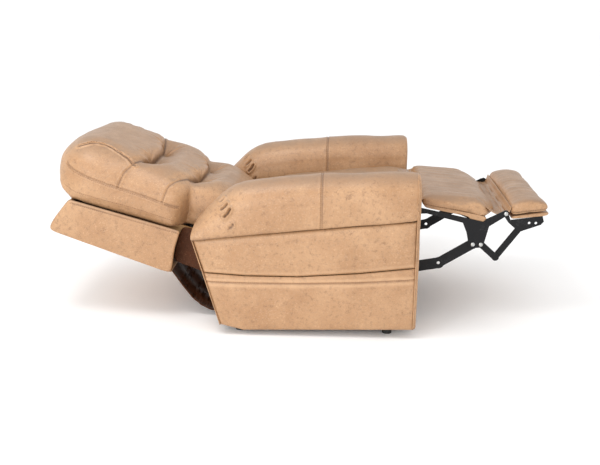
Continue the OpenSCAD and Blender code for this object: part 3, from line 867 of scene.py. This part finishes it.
side_outline = [[181, -157], [600, -160], [648, -160], [661, -150], [656, -116], [637, -62], [622, -20],
                [612, -19], [206, 13], [200, 8], [200, -56]]
cheeks = join("shell_cheeks", [board("c%d" % i, side_outline, s * 309.5, s * 322.5, "tan_upholstery", 220)
                               for i, s in enumerate((-1, 1))])
for sgn in (-1, 1):
    edge = place(back_at(*np.array([[204, sgn * 324, 6], [400, sgn * 324, -9], [612, sgn * 324, -27]]).T))
    groove(cheeks, on_skin(cheeks, even(edge, 60))[0], 0.8, 2.5, dark=0.55, line=1.2)
paint_top_sheen(cheeks)
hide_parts("back_shell_sides")
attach(cheeks, "backrest")
rim_line = [(206, 3), (400, -12), (610, -30)]
sew("shell_thread", cheeks, [place(back_at(*np.array([(s, g * 324, t) for s, t in rim_line]).T))
                             for g in (-1, 1)], "backrest")

profile = rounded([[182, -157], [640, -157], [660, -150], [622, -20], [609, -24], [643, -144], [183, -145]], 200)
rows = [back_at(profile[:, 0], y, profile[:, 1] - 2.0 * (1 - (y / 309) ** 2) * (profile[:, 1] < -150))
        for y in np.linspace(-309, 309, 60)]
rear_panel = loft("shell_back", rows, "tan_upholstery", insets=(0.9,), bulge=0)
paint_top_sheen(rear_panel)
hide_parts("back_shell_panel")
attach(rear_panel, "backrest")


def strip(A, B, face):
    s = 201 + 10 * B + 1.6 * np.sin(A * 19) * np.sin(math.pi * B) + (3.0 if face else 0.0)
    return back_at(s, -308 + 616 * A, -142 + 86 * B)


lining = sheet_solid("shell_strip", strip, 120, 14, "black_cloth")
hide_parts("shell_lining")
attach(lining, "backrest")
stems = join("stem_boxes", [board("s%d" % i, [[52, -134], [198, -134], [206, -57], [206, 12], [60, 14]],
                                  s * 240, s * 249, "brown_cloth", 90, 3, 2) for i, s in enumerate((-1, 1))])
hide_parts("back_stem_panels")
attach(stems, "backrest")

# ---------------------------------------------------------------- back cushion
# One sewn leather cover over three stuffed tiers. The middle of each tier is a pillow that rolls
# down over the next, drawn deep at two points of each crease; the sides run on evenly.
TIERS = (296.0, 465.0)


def ease(x):
    x = np.clip(x, 0, 1)
    return x * x * (3 - 2 * x)


def crease(y, which):
    """How far up the back the crease lies at distance y from the middle."""
    low = (203.0, 400.0)[which]
    return low + (TIERS[which] - low) * np.clip(np.abs(y) / 285, 0, 1) ** 2


lap_s, lap_y = [428, 445, 477, 516, 569, 613, 640, 664], [266, 258, 238, 220, 204, 216, 236, 250]
side_s = [-14, 0, 100, 200, 287, 453, 566, 624, 668, 696, 718, 732]
side_low = [52, 46, 30, 8, -2, -16, -26, -26, -6, 16, 42, 66]
side_top = [140, 158, 186, 192, 188, 186, 188, 182, 166, 146, 122, 102]


def end_half(s):
    return 306 * (1 - np.clip((s - 555) / 184, 0, 1) ** 3.2) ** (1 / 3.2)


def back_skin(s, across, level):
    """A point of the cover: s up the back, across from -1 to 1, level from 0 below to 1 on top."""
    s, across, level = np.broadcast_arrays(*[np.asarray(v, float) for v in (s, across, level)])
    low, top = np.interp(s, side_s, side_low), np.interp(s, side_s, side_top)
    t = low + (top - low) * level
    wide = end_half(s)
    start = np.interp(t, [18, 87, 150, 180], [200, 210, 228, 240])
    tuck = 22 * ease((0.62 - level) / 0.45) * ease((240 - s) / 40)
    half = np.minimum(wide, 243 - tuck + 64 * np.sqrt(1 - (1 - np.clip((s - start) / 62, 0, 1)) ** 2))
    y = half * across
    a = np.abs(y)
    inner = ease((level - 0.5) / 0.4)
    deep = np.interp(a, [0, 60, 120, 175, 215, 260, 306], [42, 50, 62, 36, 13, 4, 1])
    middle = 1 - np.clip(a / 300, 0, 1) ** 2.4
    drop = 0
    for which in (0, 1):
        c = crease(y, which)
        x = np.clip((s - c) / 46, 0, 1)
        over = 1 - np.sqrt(np.maximum(0, 1 - (1 - x) ** 2))
        under = 1 - ease((c - s) / 100)
        drop = drop + deep * np.where(s > c, over, under) + 7 * middle * (1 - ease((s - c) / 110)) * (s > c)
    rise = 4 * middle * ease((s - 20) / 80) * (1 - ease((s - 630) / 60))
    lap = np.interp(s, lap_s, lap_y)
    rise = rise + 7 * ease((lap - a) / 9) * ease((s - crease(y, 1)) / 24) * (1 - ease((s - 655) / 30))
    t = t + inner * (rise - drop)
    roll_over = 9 * np.sin(math.pi * np.clip((s - crease(y, 1)) / 44, 0, 1)) + \
        9 * np.sin(math.pi * np.clip((s - crease(y, 0)) / 44, 0, 1))
    return back_at(s - inner * roll_over * np.clip(1 - a / 250, 0, 1), y, t)


turn = np.linspace(0, math.pi / 2, 15)
half_ring = [(0.96 * k / 8, 0) for k in range(9)] + [(0.96 + 0.04 * math.sin(t), 0.08 * (1 - math.cos(t)))
                                                     for t in turn[3::3]]
half_ring += [(1, v) for v in (0.16, 0.24, 0.32, 0.4, 0.47)]
half_ring += [(0.56 + 0.44 * math.cos(t), 0.52 + 0.48 * math.sin(t)) for t in turn]
half_ring += [(0.56 * (1 - k / 20), 1) for k in range(1, 21)]
ring = np.array(half_ring + [(-a, b) for a, b in half_ring[-2:0:-1]])
back = loft("back_cushion", [back_skin(s, ring[:, 0], ring[:, 1]) for s in np.linspace(-14, 732, 128)],
            "tan_upholstery", insets=(0.94, 0.8, 0.6, 0.35), bulge=6)
puff(back, 7)
swell(back, 5, 8, 2)
tufts = [(411, g * 122) for g in (-1, 1)] + [(210, g * 95) for g in (-1, 1)]
co, n = get(back), outward(back)
for s_at, y_at in tufts:
    c = place(back_at(s_at, y_at, 128))
    rel = co - c
    d = np.linalg.norm(rel, axis=1) * 1000
    co = co - np.array([OUT[0], 0, OUT[1]]) * (16 / 1000 * np.exp(-(d / 30) ** 2))[:, None]
    spin = np.arctan2(rel @ np.array([ALONG[0], 0, ALONG[1]]), rel[:, 1])
    fold = (np.sin(spin * 9 + s_at) + 0.6 * np.sin(spin * 14 + 1)) * np.exp(-((d - 62) / 36) ** 2)
    co = co + n * (0.0015 * fold)[:, None]
put(back, co)
side_seam = even([(708, 104), (676, 90), (588, 83), (506, 83), (398, 88), (317, 90), (243, 88), (214, 90)], 120)
lower_seam = even([(672, 20), (610, 12), (516, 20), (400, 30), (300, 36), (225, 38)], 100)
seams = []
for g in (-1, 1):
    line = on_skin(back, place(back_at(side_seam[:, 0], g * 316, side_seam[:, 1])))[0]
    groove(back, line, 1.8, 4.0, dark=0.5, lip=0.7, line=1.3)
    low_line = on_skin(back, place(back_at(lower_seam[:, 0], g * 316, lower_seam[:, 1])))[0]
    seams += [line, low_line]
    for which in (0, 1):
        across = np.concatenate([np.linspace(0.78, 0.99, 10), np.ones(6)])
        level = np.concatenate([0.52 + 0.48 * np.sqrt(np.clip(1 - ((across[:10] - 0.56) / 0.44) ** 2, 0, 1)),
                                np.linspace(0.56, 0.5, 6)])
        path = place(back_skin(crease(306 * across, which), g * across, level))
        # the crease grooves are darkened with painted shade
        groove(back, on_skin(back, path)[0], 2.2, 3.6, dark=0.8, lip=0.5, line=1.3)
    ss = np.linspace(441, 660, 70)
    lap = place(back_skin(ss, g * np.interp(ss, lap_s, lap_y) / end_half(ss), 1.0))
    lap = on_skin(back, lap)[0]
    groove(back, lap, 3.2, 3.6, dark=0.95, lip=0.9, line=1.7)
    seams.append(lap)
# painted shade: a dark band along each crease between the tiers
q = (get(back) - np.array([ZERO_U, 0, 0])) * 1000 - [BACK[0], 0, BACK[1]]
q_s, q_t = q[:, 0] * ALONG[0] + q[:, 2] * ALONG[1], q[:, 0] * OUT[0] + q[:, 2] * OUT[1]
for which in (0, 1):
    shade = np.exp(-((q_s - crease(q[:, 1], which) + 3) / 5) ** 2) * (q_t > 90)
    shade *= ease((262 - np.abs(q[:, 1])) / 30)
    paint(back, "seam", 0.75 * shade)
paint_top_sheen(back, 0.55, 1.0)
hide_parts("head_cushion", "shoulder_cushion", "lumbar_cushion")
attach(back, "backrest")
sew("back_side_thread", back, [seams[0], seams[3]], "backrest", aside=(-0.005, 0.005))
sew("back_low_thread", back, [seams[1], seams[4]], "backrest")
sew("back_lap_thread", back, [seams[2], seams[5]], "backrest", aside=(-0.006, 0.006))

# ---------------------------------------------------------------- flap below the back
# One hanging sheet of brown-backed leather that closes the gap behind the seat, hemmed all
# round and held up by two webbing straps.
flap_line = even([[-924, 197], [-906, 187], [-868, 128], [-830, 75], [-795, 44], [-760, 26], [-720, 18],
                  [-690, 21], [-670, 29]], 90)
flap_norm = np.gradient(flap_line, axis=0)
flap_norm = np.stack([flap_norm[:, 1], -flap_norm[:, 0]], 1)
flap_norm /= np.linalg.norm(flap_norm, axis=1)[:, None]


def hang(A, B, face):
    k = np.clip((B * 89), 0, 89).astype(int)
    ripple = 2.5 * np.sin(A * 31) * np.sin(math.pi * B)
    hem = 1.2 * ((np.minimum(A, 1 - A) < 0.02) | (B > 0.97))
    off = ripple + (1.6 + hem if face else -0.6 - hem)
    q = flap_line[k] + flap_norm[k] * off[..., None]
    return stack(q[..., 0], -265 + 530 * A, q[..., 1])


flap = sheet_solid("hanging_flap", hang, 130, 90, "brown_cloth")
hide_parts("back_flap")
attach(flap, "backrest")

# ---------------------------------------------------------------- footrest
# Two stuffed pads on leather-wrapped boards, carried by black pressed links. A slack strip of
# the same leather joins the pads, and another covers the gap to the seat.


def wrap(name, corners, half, body, node):
    o = pad(name, corners, half, "tan_upholstery", round_mm=6, crown=0, step=14, count=90, pinch=0)
    paint_top_sheen(o)
    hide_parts(node)
    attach(o, body)
    return o


wrap("ottoman_base", [[34, 446], [206, 409], [208, 392], [258, 386], [267, 392], [266, 408], [244, 416],
                      [36, 458]], 253, "ottoman", "ottoman_board")
wrap("extension_base", [[354, 402], [486, 419], [488, 434], [354, 414]], 251, "extension", "extension_board")
calf = pad("ottoman_cushion", [[34, 446], [26, 454], [26, 480], [40, 485], [160, 478], [248, 469], [280, 449],
                               [304, 431], [292, 414], [262, 398]], 259, "tan_upholstery", round_mm=20, crown=4)
heel = pad("extension_cushion", [[354, 416], [350, 440], [358, 462], [382, 471], [420, 476], [468, 468],
                                 [483, 456], [482, 437]], 259, "tan_upholstery", round_mm=13, crown=4)
co = get(calf)
nose = np.clip((co[:, 0] - ZERO_U - 0.2) / 0.1, 0, 1) * ease((np.abs(co[:, 1]) - 0.19) / 0.07)
put(calf, co - np.array([0.030, 0, 0]) * nose[:, None])
puff(calf, 5)
puff(heel, 4)
for o, body, node, seed in ((calf, "ottoman", "ottoman_pad", 4), (heel, "extension", "extension_pad", 9)):
    swell(o, 4, 9, seed)
    co, n = get(o), outward(o)
    pull = np.array([noise.noise(Vector((x * 6, y * 42 + seed, 3.1))) for x, y, _ in co])
    put(o, co + n * (0.0018 * pull * np.clip(n[:, 2], 0, 1) ** 2)[:, None])
    paint_top_sheen(o)
made = {}
heel_line = [(349, 424), (400, 431), (440, 437), (484, 441)]
calf_line = [(34, 452), (120, 433), (200, 415), (268, 402)]
for g in (-1, 1):
    for o, line in ((heel, heel_line), (calf, calf_line)):
        path = on_skin(o, even(place([(u, g * 262, z) for u, z in line]), 40))[0]
        groove(o, path, 1.6, 3.4, dark=0.7 if o is heel else 0.3, line=1.5)
        made[(o.name, g)] = path
for o, body, node in ((calf, "ottoman", "ottoman_pad"), (heel, "extension", "extension_pad")):
    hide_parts(node)
    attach(o, body)
    sew(o.name + "_thread", o, [made[(o.name, g)] for g in (-1, 1)], body, aside=(0.004,))


def strip_between(name, line, half, wob, start, end):
    line = even(line, 40)
    n = np.gradient(line, axis=0)
    n = np.stack([-n[:, 1], n[:, 0]], 1)
    n /= np.linalg.norm(n, axis=1)[:, None]

    def grid(A, B, face):
        k = np.clip(B * 39, 0, 39).astype(int)
        off = wob * np.sin(A * 23 + 3 * B) * np.sin(math.pi * B) + (2.4 if face else 0)
        q = line[k] + n[k] * off[..., None]
        return stack(q[..., 0], (2 * A - 1) * half, q[..., 1])
    o = sheet_solid(name, grid, 110, 40, "tan_upholstery")
    paint_top_sheen(o)
    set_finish(o, "tan_upholstery")
    tuple(place(start))
    tuple(place(end))
    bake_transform(o)
    return o


valley = [(262, 446), (276, 434), (290, 425), (306, 419), (324, 417), (338, 421), (347, 434), (352, 450)]
strip_between("footrest_strip", valley, 254, 1.2, (304, 0, 430), (344, 0, 430))
gap = [(-22, 474), (0, 471), (13, 467), (24, 469), (40, 476)]
strip_between("seat_strip", gap, 250, 2.0, (6, 0, 476), (24, 0, 476))

# ---------------------------------------------------------------- rivets
# Bright domed rivet heads on the outer faces of the calf brackets and the side plates.
dome = [circle(r, x, 20) for r, x in ((0.0078, 0.0), (0.0078, 0.0008), (0.0070, 0.0018), (0.0050, 0.0027),
                                     (0.0022, 0.0032))]
dome = shape_of("rivet_shape", [[(y, z, x) for x, y, z in ring] for ring in dome])
bright = Finish("rivet_steel")
rivet_finish = bright.set(Base_Color=bright.mix(bright.noise(300, 3), rgb(176, 176, 174), rgb(214, 214, 212)),
                          Metallic=1.0, Roughness=0.26 + 0.2 * bright.noise(500, 2))
heads = {"ottoman": [(333, 425, 258), (221, 306, 258), (250, 306, 258)], "seat_frame": [(15, 430, 265)]}
for body, spots in heads.items():
    pts = [(u, g * y, z) for u, z, y in spots for g in (-1, 1)]
    set_points(body + "_rivets", place(pts), [(1, 0, 0)] * len(pts), [(0, np.sign(p[1]), 0) for p in pts],
               dome, rivet_finish, body, "rod_steel", jitter=0.0)
